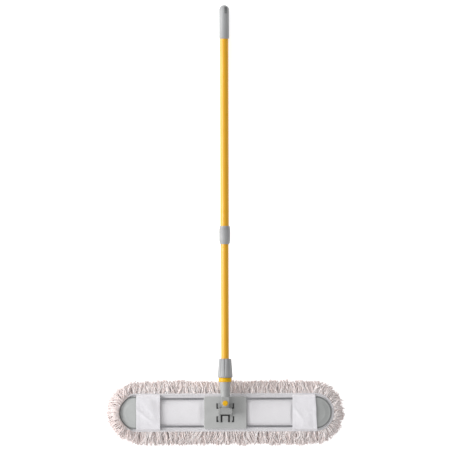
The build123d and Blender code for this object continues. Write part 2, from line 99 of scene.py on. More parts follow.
def smooth_step(value, start, end):
    """A smooth rise from 0 at the start to 1 at the end."""
    t = np.clip((value - start) / (end - start), 0.0, 1.0)
    return t * t * (3 - 2 * t)


def wobble(x, y, scale, seed=0.0):
    """Smooth noise from -1 to 1, with features of about the size of scale."""
    return noise.noise(Vector((x / scale, y / scale, seed)))


def build_mesh(name, points, faces, attributes=None):
    """A smooth-shaded object, with values for its points as named attributes."""
    mesh = bpy.data.meshes.new(name)
    mesh.from_pydata([tuple(p) for p in points], [], faces)
    mesh.polygons.foreach_set("use_smooth", [True] * len(mesh.polygons))
    for key, values in (attributes or {}).items():
        layer = mesh.attributes.new(key, "FLOAT", "POINT")
        layer.data.foreach_set("value", np.asarray(values, dtype=np.float32))
    mesh.update()
    piece = bpy.data.objects.new(name, mesh)
    bpy.context.scene.collection.objects.link(piece)
    return piece


def fit_out(piece, body, slot_name, material, *nodes):
    """Puts a new piece on a body, with its finish, in place of the CAD nodes it stands for."""
    piece.data.materials.append(material)
    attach(piece, body)
    if nodes:
        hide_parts(*nodes)
    return piece


def grid_faces(rows, columns):
    """The faces of a grid whose points are listed row by row."""
    faces = []
    for i in range(rows - 1):
        for j in range(columns - 1):
            a = i * columns + j
            faces.append((a, a + 1, a + columns + 1, a + columns))
    return faces


def thicken(piece, thickness):
    """Gives a sheet its thickness, below the surface that was built."""
    modifier = piece.modifiers.new("thickness", "SOLIDIFY")
    modifier.thickness = thickness
    modifier.offset = -1


def slot_edge(distance, half_length, radius):
    """A point and its outward normal on a round-ended outline, by the distance along its edge."""
    straight = 2 * (half_length - radius)
    bend = math.pi * radius
    distance = distance % (2 * straight + 2 * bend)
    if distance < straight:
        return Vector((straight / 2 - distance, radius, 0)), Vector((0, 1, 0))
    distance -= straight
    if distance < bend:
        return bend_edge(-straight / 2, math.pi / 2 + distance / radius, radius)
    distance -= bend
    if distance < straight:
        return Vector((distance - straight / 2, -radius, 0)), Vector((0, -1, 0))
    return bend_edge(straight / 2, -math.pi / 2 + (distance - straight) / radius, radius)


def bend_edge(centre_x, angle, radius):
    """A point and its outward normal on one round end."""
    normal = Vector((math.cos(angle), math.sin(angle), 0))
    return Vector((centre_x, 0, 0)) + radius * normal, normal


def slot_length(half_length, radius):
    """The distance round a round-ended outline."""
    return 4 * (half_length - radius) + 2 * math.pi * radius


# Materials


class Look:
    """A material's nodes. Texture scales are given as the size of a feature, in metres."""

    def __init__(self, name, roughness, metallic=0.0, **sockets):
        self.material = bpy.data.materials.new(name)
        self.material.use_nodes = True
        self.nodes = self.material.node_tree.nodes
        self.links = self.material.node_tree.links
        self.place = self.nodes.new("ShaderNodeTexCoord").outputs["Object"]
        self.shader = self.nodes["Principled BSDF"]
        self.shader.inputs["Roughness"].default_value = roughness
        self.shader.inputs["Metallic"].default_value = metallic
        for socket, value in sockets.items():
            self.shader.inputs[socket.replace("_", " ")].default_value = value

    def feed(self, socket, value):
        """Gives a socket a value, or a link from another node's output."""
        if isinstance(value, bpy.types.NodeSocket):
            self.links.new(value, socket)
        else:
            socket.default_value = value

    def add(self, kind, inputs=(), **settings):
        """A new shader node, with its settings, and a value or a link for each input."""
        node = self.nodes.new("ShaderNode" + kind)
        for key, value in settings.items():
            setattr(node, key, value)
        for key, value in dict(inputs).items():
            self.feed(node.inputs[key], value)
        return node

    def stretched(self, stretch):
        """Object coordinates, scaled so that textures run out along an axis."""
        return self.add("Mapping", {"Vector": self.place, "Scale": stretch}).outputs["Vector"]

    def noise(self, size, detail=2.0, stretch=None, distortion=0.0):
        """Noise from 0 to 1, with features of about this size."""
        vector = self.stretched(stretch) if stretch else self.place
        inputs = {"Vector": vector, "Scale": 1 / size, "Detail": detail, "Distortion": distortion}
        return self.add("TexNoise", inputs).outputs["Fac"]

    def remap(self, value, low, high, to_low=0.0, to_high=1.0):
        """Stretches the range from low to high over another range, and clamps it there."""
        inputs = {0: value, 1: low, 2: high, 3: to_low, 4: to_high}
        return self.add("MapRange", inputs).outputs["Result"]

    def math(self, operation, a, b):
        """The result of one operation on two values."""
        return self.add("Math", {0: a, 1: b}, operation=operation).outputs["Value"]

    def mix(self, factor, a, b):
        """A colour between two colours. A mix node's colour sockets are its seventh and eighth."""
        node = self.add("Mix", data_type="RGBA")
        self.feed(node.inputs[0], factor)
        self.feed(node.inputs[6], a)
        self.feed(node.inputs[7], b)
        return node.outputs[2]

    def attribute(self, name):
        """A value that the mesh carries at its points."""
        return self.add("Attribute", attribute_name=name).outputs["Fac"]

    def bump(self, height, distance, strength):
        """Adds relief of this depth, on top of any relief that is already there."""
        inputs = {"Height": height, "Distance": distance, "Strength": strength}
        if self.shader.inputs["Normal"].is_linked:
            inputs["Normal"] = self.shader.inputs["Normal"].links[0].from_socket
        self.wire("Normal", self.add("Bump", inputs).outputs["Normal"])

    def wire(self, socket, output):
        """Links an output to one of the shader's own sockets."""
        self.links.new(output, self.shader.inputs[socket])


def linear(value):
    """The light that a screen gives for a value from 0 to 255 (the sRGB curve)."""
    value /= 255
    return value / 12.92 if value <= 0.04045 else ((value + 0.055) / 1.055) ** 2.4


def colour(red, green, blue):
    """A colour for a node's socket, from its values on a screen."""
    return (linear(red), linear(green), linear(blue), 1.0)


def shaded(base, factor):
    """A darker or lighter version of a colour."""
    return (base[0] * factor, base[1] * factor, base[2] * factor, 1.0)


def rim_shade_share(look, half_length, radius, width):
    """1 at the edge of a round-ended outline, fading to 0 at this width inside it."""
    split = look.add("SeparateXYZ", {"Vector": look.place})
    reach = look.math("ABSOLUTE", split.outputs["X"], 0.0)
    past = look.math("MAXIMUM", look.math("SUBTRACT", reach, half_length - radius), 0.0)
    across = split.outputs["Y"]
    squares = look.math("ADD", look.math("MULTIPLY", past, past), look.math("MULTIPLY", across, across))
    distance = look.math("SQRT", squares, 0.0)
    return look.remap(distance, radius - width, radius - 0.5 * width)


def moulded_plastic(name, base, roughness, rim=None):
    """Injection moulded plastic: a fine eroded grain, soft mottling, and a few rubbed marks.

    A rim is a round-ended outline (half length, radius, width) with painted shade dark along it, for
    the shadowed gap where the cover meets it.
    """
    look = Look(name, roughness)
    mottle = look.noise(0.035, detail=4.0)
    tone = look.mix(look.remap(mottle, 0.3, 0.7), shaded(base, 0.93), shaded(base, 1.05))
    rubbed = look.remap(look.noise(0.004, 3.0, stretch=(1, 0.12, 1), distortion=1.5), 0.66, 0.74)
    faint = look.math("MULTIPLY", rubbed, 0.35)
    surface = look.mix(faint, tone, shaded(base, 1.25))
    if rim:
        # painted shade: the rim is darkened where the gap to the cover lies in shadow
        surface = look.mix(rim_shade_share(look, *rim), surface, shaded(base, 0.42))
    look.wire("Base Color", surface)
    grime = look.remap(look.noise(0.012, 4.0), 0.35, 0.7, roughness - 0.07, roughness + 0.12)
    look.wire("Roughness", grime)
    look.bump(look.noise(0.00045, 1.0), 0.00005, 0.7)
    look.bump(look.noise(0.006, 2.0), 0.00008, 0.6)
    return look.material


def glossy_plastic(name, base):
    """The yellow trim: smooth, with a little flow mottling and light scratches."""
    look = Look(name, 0.36, Specular_IOR_Level=0.3)
    flow = look.remap(look.noise(0.009, 3.0, distortion=0.8), 0.3, 0.7)
    look.wire("Base Color", look.mix(flow, shaded(base, 0.94), shaded(base, 1.04)))
    look.wire("Roughness", look.remap(look.noise(0.002, 4.0), 0.35, 0.7, 0.24, 0.4))
    look.bump(look.noise(0.0012, 2.0), 0.00003, 0.6)
    return look.material


def powder_coat(name, base):
    """Powder coat on a drawn tube: orange peel, faint lengthwise streaks and rubbed spots."""
    look = Look(name, 0.34, Coat_Weight=0.15, Coat_Roughness=0.2)
    streak = look.remap(look.noise(0.003, 3.0, stretch=(1, 0.02, 1)), 0.3, 0.7)
    tone = look.mix(streak, shaded(base, 0.96), shaded(base, 1.04))
    rubbed = look.remap(look.noise(0.006, 4.0, stretch=(1, 0.3, 1), distortion=1.0), 0.69, 0.75)
    dull = look.math("MULTIPLY", rubbed, 0.25)
    look.wire("Base Color", look.mix(dull, tone, shaded(base, 0.78)))
    look.wire("Roughness", look.remap(look.noise(0.01, 4.0, stretch=(1, 0.2, 1)), 0.3, 0.7, 0.26, 0.42))
    look.bump(look.noise(0.0022, 1.5), 0.00006, 0.5)
    return look.material


def drawn_steel(name, base, along=(0.01, 1, 1)):
    """Plated steel rod, with draw lines along its length and a little tarnish."""
    look = Look(name, 0.34, metallic=1.0)
    lines = look.noise(0.0005, 3.0, stretch=along)
    tarnish = look.remap(look.noise(0.02, 5.0, stretch=(0.4, 1, 1)), 0.35, 0.75)
    bright = look.mix(look.remap(lines, 0.3, 0.7), shaded(base, 0.85), shaded(base, 1.12))
    look.wire("Base Color", look.mix(tarnish, bright, shaded(base, 0.78)))
    look.wire("Roughness", look.remap(lines, 0.3, 0.7, 0.26, 0.46))
    look.bump(lines, 0.00002, 0.5)
    return look.material


def woven_cloth(name, base, pitch, soil=0.94):
    """Plain weave: warp and weft threads, a pitch apart, that pass over each other in turn.

    Soil is the brightness of its greyest patches.
    """
    look = Look(name, 0.85, Sheen_Weight=0.25, Sheen_Roughness=0.5)
    wave = {"Vector": look.place, "Scale": 1 / (pitch * 2 * math.pi), "Distortion": 0.4,
            "Detail": 1.0, "Detail Scale": 0.02}
    warp = look.add("TexWave", wave, bands_direction="X").outputs["Fac"]
    weft = look.add("TexWave", wave, bands_direction="Y").outputs["Fac"]
    over = look.add("TexChecker", {"Vector": look.place, "Scale": 1 / pitch}).outputs["Fac"]
    blend = look.add("Mix", {0: over, 2: warp, 3: weft}).outputs[0]
    slub = look.remap(look.noise(0.004, 3.0, stretch=(1, 0.25, 1)), 0.3, 0.7)
    patch = look.remap(look.noise(0.05, 4.0), 0.3, 0.7)
    thread = look.mix(blend, shaded(base, 0.93), shaded(base, 1.03))
    slubbed = look.mix(look.math("MULTIPLY", slub, 0.3), thread, shaded(base, 0.97))
    look.wire("Base Color", look.mix(look.math("MULTIPLY", patch, 0.5), slubbed, shaded(base, soil)))
    look.wire("Roughness", look.remap(slub, 0.0, 1.0, 0.78, 0.95))
    look.bump(blend, 0.00012, 0.8)
    look.bump(look.noise(0.008, 3.0), 0.0004, 0.35)
    return look.material


def cotton_yarn(name, light, dark):
    """Twisted cotton: each strand has its own tone, a little greyer at its tip, with loose fibres."""
    look = Look(name, 0.9, Sheen_Weight=0.35, Sheen_Roughness=0.6, Subsurface_Weight=0.35)
    look.shader.inputs["Subsurface Radius"].default_value = (1.0, 0.9, 0.85)
    look.shader.inputs["Subsurface Scale"].default_value = 0.003
    strand = look.mix(look.attribute("tone"), dark, light)
    worn = look.remap(look.attribute("along"), 0.5, 1.0, 0.0, 0.5)
    tipped = look.mix(worn, strand, shaded(dark, 0.93))
    fibre = look.noise(0.0006, 4.0, distortion=1.2)
    fleck = look.math("MULTIPLY", look.remap(fibre, 0.45, 0.75), 0.3)
    look.wire("Base Color", look.mix(fleck, tipped, shaded(light, 1.02)))
    look.wire("Roughness", look.remap(fibre, 0.3, 0.7, 0.8, 0.98))
    look.bump(fibre, 0.0004, 0.8)
    return look.material


def sewing_thread(name, base):
    """Two-ply thread with a slight sheen."""
    look = Look(name, 0.55, Sheen_Weight=0.2)
    ply = look.noise(0.0004, 2.0, stretch=(1, 0.4, 1))
    look.wire("Base Color", look.mix(look.remap(ply, 0.3, 0.7), shaded(base, 0.82), shaded(base, 1.05)))
    look.bump(ply, 0.0001, 0.7)
    return look.material


CAP_SHADED_RIM = (CAP_HALF, CAP_RADIUS, 5 * MM)  # the outline of the frame's ends, and the width of painted shade along their rim

FINISHES = {
    "cap_plastic": moulded_plastic("cap_plastic", colour(174, 176, 175), 0.42, CAP_SHADED_RIM),
    "plate_plastic": moulded_plastic("plate_plastic", colour(178, 179, 178), 0.5),
    "joint_plastic": moulded_plastic("joint_plastic", colour(160, 161, 160), 0.46),
    "handle_plastic": moulded_plastic("handle_plastic", colour(157, 158, 159), 0.48),
    "inner_plastic": moulded_plastic("inner_plastic", colour(228, 226, 220), 0.4),
    "yellow_plastic": glossy_plastic("yellow_plastic", colour(222, 170, 0)),
    "yellow_coat": powder_coat("yellow_coat", colour(222, 163, 8)),
    "rod_steel": drawn_steel("rod_steel", colour(150, 150, 153)),
    "fastener_steel": drawn_steel("fastener_steel", colour(190, 190, 188), (1, 1, 1)),
    "yarn": cotton_yarn("yarn", colour(252, 242, 240), colour(226, 211, 208)),
    "backing": woven_cloth("backing", colour(233, 231, 234), 0.9 * MM),
    # a little greyer than the backing: painted shade, for the hem that lies in shadow round the ends
    "binding": woven_cloth("binding", colour(222, 220, 223), 0.7 * MM),
    "band": woven_cloth("band", colour(234, 232, 236), 0.8 * MM, soil=0.86),
}
# the plate under the slots is dark grey: painted shade for the shadowed slots above it
SHADED_PLATE = moulded_plastic("under_plate_shade_plastic", colour(92, 93, 94), 0.6)
THREAD = sewing_thread("thread", colour(236, 234, 236))


def finish_cad_nodes():
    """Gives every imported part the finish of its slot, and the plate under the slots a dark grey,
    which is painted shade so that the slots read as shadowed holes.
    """
    for part in frame["record"]["subparts"]:
        node = frame["nodes"][part["node"]]
        node.data.materials.clear()
        node.data.materials.append(FINISHES[part["material_slot"]])
    frame["nodes"]["under_plate"].data.materials[0] = SHADED_PLATE


# Cloth

PUFF = 5.2 * MM  # how far the yarn lifts the backing between the rods
CURL_LIFT = 5.2 * MM  # how far the left end of the cover is curled up
DROOP = 2.4 * MM  # how far the right end of the cover hangs down
BACKING_THICKNESS = 0.9 * MM
BACKING_REACH = 0.985  # the last columns stop short of the tips, where the sheet has no width


def end_share(x):
    """0 along the mop's straight sides, rising to 1 round its ends."""
    return smooth_step(abs(x), BAND_INNER, BAND_OUTER + 20 * MM)


def curl_share(x):
    """0 along the cover, rising to 1 where its left end is curled up round its cap."""
    return smooth_step(-x, BAND_OUTER - 4 * MM, BAND_OUTER + 40 * MM)


def droop(x, y):
    """How far the right end of the cover hangs down beyond its cap."""
    past = max(0.0, x - (BACKING_HALF - BACKING_RADIUS))
    share = smooth_step(math.hypot(past, y), CAP_RADIUS - 1 * MM, BACKING_RADIUS)
    return DROOP * share * end_share(max(x, 0.0))


def backing_height(x, y):
    """The backing lies flat under the frame, and the yarn puffs it up between the rods."""
    across = max(0.0, 1 - (y / (ROD_Y - 1 * MM)) ** 2)
    open_length = smooth_step(abs(x), PLATE_END - 5 * MM, PLATE_END + 15 * MM)
    open_length *= 1 - smooth_step(abs(x), BAND_INNER - 4 * MM, BAND_INNER + 10 * MM)
    puff = PUFF * across**0.7 * open_length
    ripple = 0.3 * MM * wobble(x, y, 0.035, 1.0) + 0.12 * MM * wobble(x, y, 0.012, 2.0)
    edge = smooth_step(abs(y), ROD_Y + 2 * MM, BACKING_RADIUS)
    flat = BACKING_TOP - 0.3 * MM - droop(x, y)
    return flat + puff + ripple * (0.35 + 0.65 * open_length) + 0.8 * MM * edge


def make_backing():
    """One sheet with round ends, sewn into the hem all round."""
    columns, rows = 205, 45
    centre = BACKING_HALF - BACKING_RADIUS
    points = []
    for i in range(columns):
        x = BACKING_HALF * math.sin(math.pi / 2 * (2 * i / (columns - 1) - 1) * BACKING_REACH)
        past = max(0.0, abs(x) - centre)
        half = math.sqrt(BACKING_RADIUS**2 - past**2)
        for j in range(rows):
            y = half * (2 * j / (rows - 1) - 1)
            points.append((x, y, backing_height(x, y)))
    piece = build_mesh("backing", points, grid_faces(columns, rows))
    thicken(piece, BACKING_THICKNESS)
    return fit_out(piece, HEAD, "backing", FINISHES["backing"], "backing_cloth")


HEM_RINGS = 900
HEM_SIDES = 14


def hem_ring(place, normal, distance):
    """The hem's section: a flat tape along the sides, and a roll that curls up at the left end."""
    end, curl = end_share(place.x), curl_share(place.x)
    pucker = 1 + 0.05 * math.sin(2 * math.pi * distance / (6 * MM))
    pucker += 0.08 * wobble(distance, 0, 0.02, 5.0)
    half_width = (3.2 - 0.5 * end) * MM * pucker
    half_height = (1.3 + 0.2 * end + 3.0 * curl) * MM * pucker
    centre = place - normal * (half_width + (2.4 * curl - 0.2) * MM)
    centre.z = BACKING_TOP + (0.6 + 0.2 * end) * MM + CURL_LIFT * curl
    centre.z -= droop(place.x, COVER_RADIUS)
    ring = []
    for step in range(HEM_SIDES):
        angle = 2 * math.pi * step / HEM_SIDES
        bulge = Vector(normal) * (half_width * math.cos(angle))
        bulge.z = half_height * math.sin(angle) * (1.0 if math.sin(angle) > 0 else 1.4)
        ring.append(centre + bulge)
    return ring


def closed_sweep(name, rings, sides):
    """A tube through rings of points that closes on itself."""
    points = [p for ring in rings for p in ring]
    faces = []
    for i in range(len(rings)):
        following = (i + 1) % len(rings)
        for j in range(sides):
            k = (j + 1) % sides
            faces.append((i * sides + j, i * sides + k, following * sides + k, following * sides + j))
    return build_mesh(name, points, faces)


def make_hem():
    """The binding that closes the cover's edge, all the way round."""
    length = slot_length(COVER_HALF, COVER_RADIUS)
    rings = []
    for step in range(HEM_RINGS):
        distance = length * step / HEM_RINGS
        place, normal = slot_edge(distance, COVER_HALF, COVER_RADIUS)
        rings.append(hem_ring(place, normal, distance))
    piece = closed_sweep("hem", rings, HEM_SIDES)
    return fit_out(piece, HEAD, "binding", FINISHES["binding"], "edge_binding")


THREAD_RADIUS = 0.32 * MM


def stitch_points(start, end, up):
    """A short raised thread between two points, as a row of four-sided rings."""
    along = (end - start).normalized()
    side = along.cross(up).normalized() * THREAD_RADIUS
    crest = up * THREAD_RADIUS * 0.7
    rings = []
    for t in (0.0, 0.25, 0.75, 1.0):
        rise = up * (THREAD_RADIUS * (1.1 if 0 < t < 1 else -0.8))
        middle = start.lerp(end, t) + rise
        rings.append([middle - side, middle + crest, middle + side, middle - crest])
    return rings


def make_stitches(name, runs, slot_name):
    """Stitches as one piece. Each run is one stitch: its start, its end and the way up."""
    points, faces = [], []
    for start, end, up in runs:
        base = len(points)
        for ring in stitch_points(start, end, up):
            points.extend(ring)
        for i in range(3):
            for j in range(4):
                k = (j + 1) % 4
                a = base + i * 4
                faces.append((a + j, a + k, a + 4 + k, a + 4 + j))
        faces.append((base + 3, base + 2, base + 1, base))
        faces.append((base + 12, base + 13, base + 14, base + 15))
    piece = build_mesh(name, points, faces)
    return fit_out(piece, HEAD, slot_name, THREAD)


def hem_stitches():
    """A row of stitches along the middle of the hem."""
    pitch = 4.2 * MM
    inset = 5.6 * MM
    half, radius = COVER_HALF - inset, COVER_RADIUS - inset
    length = slot_length(half, radius)
    count = round(length / pitch)
    runs = []
    for step in range(count):
        ends = []
        for share in (0.0, 0.68):
            place, normal = slot_edge(length * (step + share) / count, half, radius)
            place -= normal * 1.6 * MM * curl_share(place.x)
            place.z = BACKING_TOP + 1.5 * MM + CURL_LIFT * curl_share(place.x)
            place.z -= droop(place.x, COVER_RADIUS)
            ends.append(place)
        runs.append((ends[0], ends[1], Vector((-normal.x * 0.4, -normal.y * 0.4, 1)).normalized()))
    return make_stitches("hem_stitches", runs, "binding")


BAND_DRIFT = 3 * MM  # the cover has crept to the right under the frame
BAND_TURN = 8 * MM  # the width that is folded under at each cut edge
BAND_THICKNESS = 0.7 * MM


def band_height(side, across, y):
    """A band's top surface: over the cap, down to the rods at its inner edge, and to its sewn feet."""
    x = side * (BAND_INNER + across) + BAND_DRIFT
    reach = abs(y)
    inner = 1 - smooth_step(abs(x), BAND_INNER - 2 * MM, CAP_START + 14 * MM)
    crown = CAP_TOP + 1.0 * MM - 0.3 * inner * (CAP_TOP - ROD_TOP)
    shoulder = crown - 1.6 * MM * smooth_step(reach, 20 * MM, 44 * MM) * (1 - inner)
    sag = inner * (0.5 * MM) * max(0.0, 1 - (y / ROD_Y) ** 2)
    foot = BACKING_TOP + 1.4 * MM
    drop = smooth_step(reach, CAP_RADIUS - 1.2 * MM, BAND_FOOT - 0.3 * MM)
    height = (shoulder - sag) * (1 - drop) + foot * drop
    crease = 1 - math.hypot(wobble(x + 0.7 * y, y * 0.6, 0.034, 3.0 + 2 * side), 0.12)
    folds = 2.0 * MM * crease**3 + 0.25 * MM * wobble(x - 0.8 * y, y, 0.012, 7.0)
    calm = 1 - 0.75 * smooth_step(reach, 34 * MM, 42 * MM)
    from_edge = min(across, BAND_WIDTH - across)
    turned = 0.18 * MM * (1 - smooth_step(from_edge, BAND_TURN - 1 * MM, BAND_TURN + 1 * MM))
    return height + folds * calm + turned


def band_edge_shift(y, edge):
    """How far a band's cut edge wanders. The edges are -3, -1, 1 and 3, from left to right.

    The outer edge of the right band runs askew.
    """
    askew = 2.6 * MM if edge == 3 else 0.0
    return 1.1 * MM * wobble(y, edge * 10, 0.03, 11.0) - askew * y / BAND_FOOT


def make_band(side):
    """One cloth band, from foot to foot over the frame."""
    name = "band_right" if side > 0 else "band_left"
    columns, rows = 57, 121
    points = []
    for i in range(columns):
        share = i / (columns - 1)
        for j in range(rows):
            y = BAND_FOOT * math.sin(math.pi / 2 * (2 * j / (rows - 1) - 1))
            shift = (1 - share) * band_edge_shift(y, side) + share * band_edge_shift(y, 3 * side)
            across = share * BAND_WIDTH
            x = side * (BAND_INNER + across + shift) + BAND_DRIFT
            points.append((x, y, band_height(side, across, y)))
    faces = grid_faces(columns, rows)
    if side < 0:
        faces = [face[::-1] for face in faces]
    piece = build_mesh(name, points, faces)
    thicken(piece, BAND_THICKNESS)
    return fit_out(piece, HEAD, "band", FINISHES["band"], "pocket_" + name)


def band_stitches():
    """Two rows of stitches on each band, just inside its turned edges."""
    runs = []
    pitch = 3.6 * MM
    count = round(2 * (CAP_RADIUS - 2 * MM) / pitch)
    for side in (-1, 1):
        for across in (BAND_TURN - 1 * MM, BAND_WIDTH - BAND_TURN + 1 * MM):
            x = side * (BAND_INNER + across) + BAND_DRIFT
            for step in range(count):
                ys = [-CAP_RADIUS + 2 * MM + pitch * (step + share) for share in (0.0, 0.66)]
                ends = [Vector((x, y, band_height(side, across, y) + 0.05 * MM)) for y in ys]
                runs.append((ends[0], ends[1], Vector((0, 0, 1))))
    return make_stitches("band_stitches", runs, "band")


# Yarn


TWIST = 0.75  # how far a yarn turns from one knot of its path to the next, in radians


def tube_faces(count, length, sides):
    """The faces of many closed tubes, whose points are listed tube by tube and ring by ring."""
    faces = []
    for tube in range(count):
        base = tube * length * sides
        for i in range(length - 1):
            for j in range(sides):
                k = (j + 1) % sides
                a = base + i * sides
                faces.append((a + j, a + sides + j, a + sides + k, a + k))
        last = base + (length - 1) * sides
        faces.append(tuple(base + j for j in range(sides)))
        faces.append(tuple(last + sides - 1 - j for j in range(sides)))
    return faces


def yarn_mesh(name, paths, radii, tones, seed, sides=9):
    """Twisted yarns along many paths at once: three-lobed tubes that turn as they go."""
    rng = np.random.default_rng(seed)
    paths = np.asarray(paths)
    count, length, _ = paths.shape
    tangent = np.gradient(paths, axis=1)
    tangent /= np.linalg.norm(tangent, axis=2, keepdims=True)
    side = np.cross(tangent, np.array([0.0, 0.0, 1.0]))
    side /= np.maximum(np.linalg.norm(side, axis=2, keepdims=True), 1e-6)
    up = np.cross(side, tangent)
    along = np.linspace(0, 1, length)
    taper = 1 - 0.12 * (1 - along) ** 4 - 0.45 * smooth_step(along, 0.86, 1.0)
    angle = np.linspace(0, 2 * np.pi, sides, endpoint=False)
    turn = rng.uniform(0, 2 * np.pi, (count, 1, 1)) + TWIST * np.arange(length)[None, :, None]
    lobe = 0.83 + 0.17 * np.cos(3 * (angle[None, None, :] - turn))
    reach = np.asarray(radii)[:, None, None] * taper[None, :, None] * lobe
    points = paths[:, :, None, :] + reach[..., None] * (
        np.cos(angle)[None, None, :, None] * side[:, :, None, :]
        + np.sin(angle)[None, None, :, None] * up[:, :, None, :]
    )
    tone = np.repeat(np.asarray(tones), length * sides)
    place = np.tile(np.repeat(along, sides), count)
    attributes = {"tone": tone, "along": place}
    return build_mesh(name, points.reshape(-1, 3), tube_faces(count, length, sides), attributes)


def fringe_reach(place, normal):
    """How far the fringe goes from a point on the cover's edge to its own outline."""
    centre = Vector((math.copysign(min(abs(place.x), FRINGE_HALF - FRINGE_RADIUS), place.x), 0, 0))
    offset = place - centre
    along = offset.dot(normal)
    root = along**2 - offset.length_squared + FRINGE_RADIUS**2
    return math.sqrt(root) - along


FRINGE_LAYERS = (
    # height at the root, height at the tip, rise between them, share of the reach
    (4.0 * MM, 1.9 * MM, 0.4 * MM, 1.0),
    (7.0 * MM, 3.0 * MM, 1.2 * MM, 1.02),
    (10.0 * MM, 4.2 * MM, 2.2 * MM, 1.02),
    (13.0 * MM, 5.6 * MM, 3.0 * MM, 1.0),
    (16.0 * MM, 7.0 * MM, 3.8 * MM, 0.97),
    (19.5 * MM, 8.6 * MM, 4.4 * MM, 0.9),
)
ROOT_INSET = 5 * MM  # the strands start this far inside the cover's edge
ROOT_HALF = COVER_HALF - ROOT_INSET
ROOT_RADIUS = COVER_RADIUS - ROOT_INSET
FRINGE_KNOTS = 17
LOWEST_YARN = 1.5 * MM


class Lock:
    """What the strands of one lock share: their layer's heights, and how they gather and lean."""

    def __init__(self, rng, distance, layer_number):
        ends = end_share(slot_edge(distance, COVER_HALF, COVER_RADIUS)[0].x)
        self.spacing = (2.3 - 0.5 * ends) * MM
        self.root, self.tip, self.lift, share = FRINGE_LAYERS[layer_number]
        self.gather = rng.uniform(0.2, 1.0) if rng.random() < 0.5 else rng.uniform(-0.9, 0.1)
        self.lean = 9 * MM * wobble(distance, layer_number * 0.02, 0.03, 21.0)
        self.lean += rng.normal(0, 8 * MM)
        self.size = share * rng.uniform(0.84 - 0.1 * ends, 1.06)
        self.size *= 1 + 0.14 * wobble(distance, 0, 0.045, 31.0)
        self.bow = rng.normal(0, 3.5 * MM)


def strand_path(rng, distance, offset, lock):
    """One strand, from its root at the hem to its tip near the floor."""
    t = np.linspace(0, 1, FRINGE_KNOTS)
    place, normal = slot_edge(distance + offset, ROOT_HALF, ROOT_RADIUS)
    tangent = Vector((-normal.y, normal.x, 0))
    curl = curl_share(place.x)
    reach = fringe_reach(place, normal) - 2.2 * MM * normal.y
    reach *= lock.size * rng.uniform(0.88, 1.06)
    stray = rng.normal(0, 10 * MM) if rng.random() < 0.3 else 0.0
    phase, waves = rng.random(), rng.uniform(0.7, 1.9)
    sideways = -lock.gather * offset * t**1.4 + (lock.lean + stray) * t**1.3
    sideways += lock.bow * np.sin(math.pi * t)
    sideways += rng.normal(0, 1.6 * MM) * np.sin(2 * math.pi * (t * waves + phase)) * t
    root = (lock.root - 1.6 * droop(place.x, COVER_RADIUS)) * (1 + 0.6 * curl)
    height = lock.tip + (root - lock.tip) * (1 - t**1.6)
    height += (lock.lift + 1.5 * MM * curl) * rng.uniform(0.5, 1.4) * np.sin(math.pi * t)
    height += rng.normal(0, 0.6 * MM) * t
    out = reach * t - 3 * MM * curl * (1 - t)
    x = place.x + normal.x * out + tangent.x * sideways
    y = place.y + normal.y * out + tangent.y * sideways
    return np.stack([x, y, np.maximum(height, LOWEST_YARN)], axis=1)


def lock_paths(rng, distance, width, layer_number):
    """The strands of one lock: they leave the hem side by side, and gather or fan at their tips."""
    lock = Lock(rng, distance, layer_number)
    strands = max(2, round(width / lock.spacing))
    offsets = [((strand + 0.5) / strands - 0.5) * width for strand in range(strands)]
    return [strand_path(rng, distance, offset, lock) for offset in offsets]


def fringe_paths(rng, layer_number):
    """Every lock of one layer, round the whole edge, and a tone for each strand.

    The yarn round the left end is darkened, which is painted shade against the key light, and round the
    right end lightened, which is painted light in the cap's shadow.
    """
    length = slot_length(ROOT_HALF, ROOT_RADIUS)
    paths, tones = [], []
    distance = 0.0
    while distance < length:
        width = rng.uniform(4.5, 12) * MM
        lock = lock_paths(rng, distance + width / 2, width, layer_number)
        x = slot_edge(distance, COVER_HALF, COVER_RADIUS)[0].x
        # painted shade on the left end's yarn, painted light on the right end's
        tone = rng.uniform(0.2, 0.85) - 0.9 * curl_share(x) + 0.4 * curl_share(-x)
        paths.extend(lock)
        tones.extend(np.clip(tone + rng.normal(0, 0.22, len(lock)), 0, 1))
        distance += width
    return paths, tones


FRINGE_SEED = 40
FRINGE_TWIST_SEED = 60


def make_fringe():
    """Layers of strands round the hem, each layer one piece."""
    for layer in range(len(FRINGE_LAYERS)):
        rng = np.random.default_rng(FRINGE_SEED + layer)
        paths, tones = fringe_paths(rng, layer)
        radii = rng.uniform(1.15, 1.55, len(paths)) * MM
        seed = FRINGE_TWIST_SEED + layer
        piece = yarn_mesh(f"fringe_yarn_{layer + 1}", paths, radii, tones, seed)
        fit_out(piece, HEAD, "yarn", FINISHES["yarn"], "yarn_fringe")


SOLE_ROWS = 6
SOLE_PITCH = 3.6 * MM
SOLE_KNOTS = 9
SOLE_SEED = 90
SOLE_TWIST_SEED = 120


def sole_path(rng, x, row_y, side):
    """A strand that hangs from its row under the cover, and lies over on the floor."""
    t = np.linspace(0, 1, SOLE_KNOTS)
    reach = rng.uniform(20, 30) * MM
    lean = rng.normal(0, 6 * MM)
    drop = smooth_step(t, 0.0, 0.55)
    low = rng.uniform(1.7, 6.5) * MM
    wander = rng.normal(0, 1.6 * MM) * np.sin(2 * math.pi * (t + rng.random())) * t
    height = (YARN_TOP - 2 * MM) * (1 - drop) + low * drop
    return np.stack([x + lean * t + wander, row_y + side * reach * t, height], axis=1)


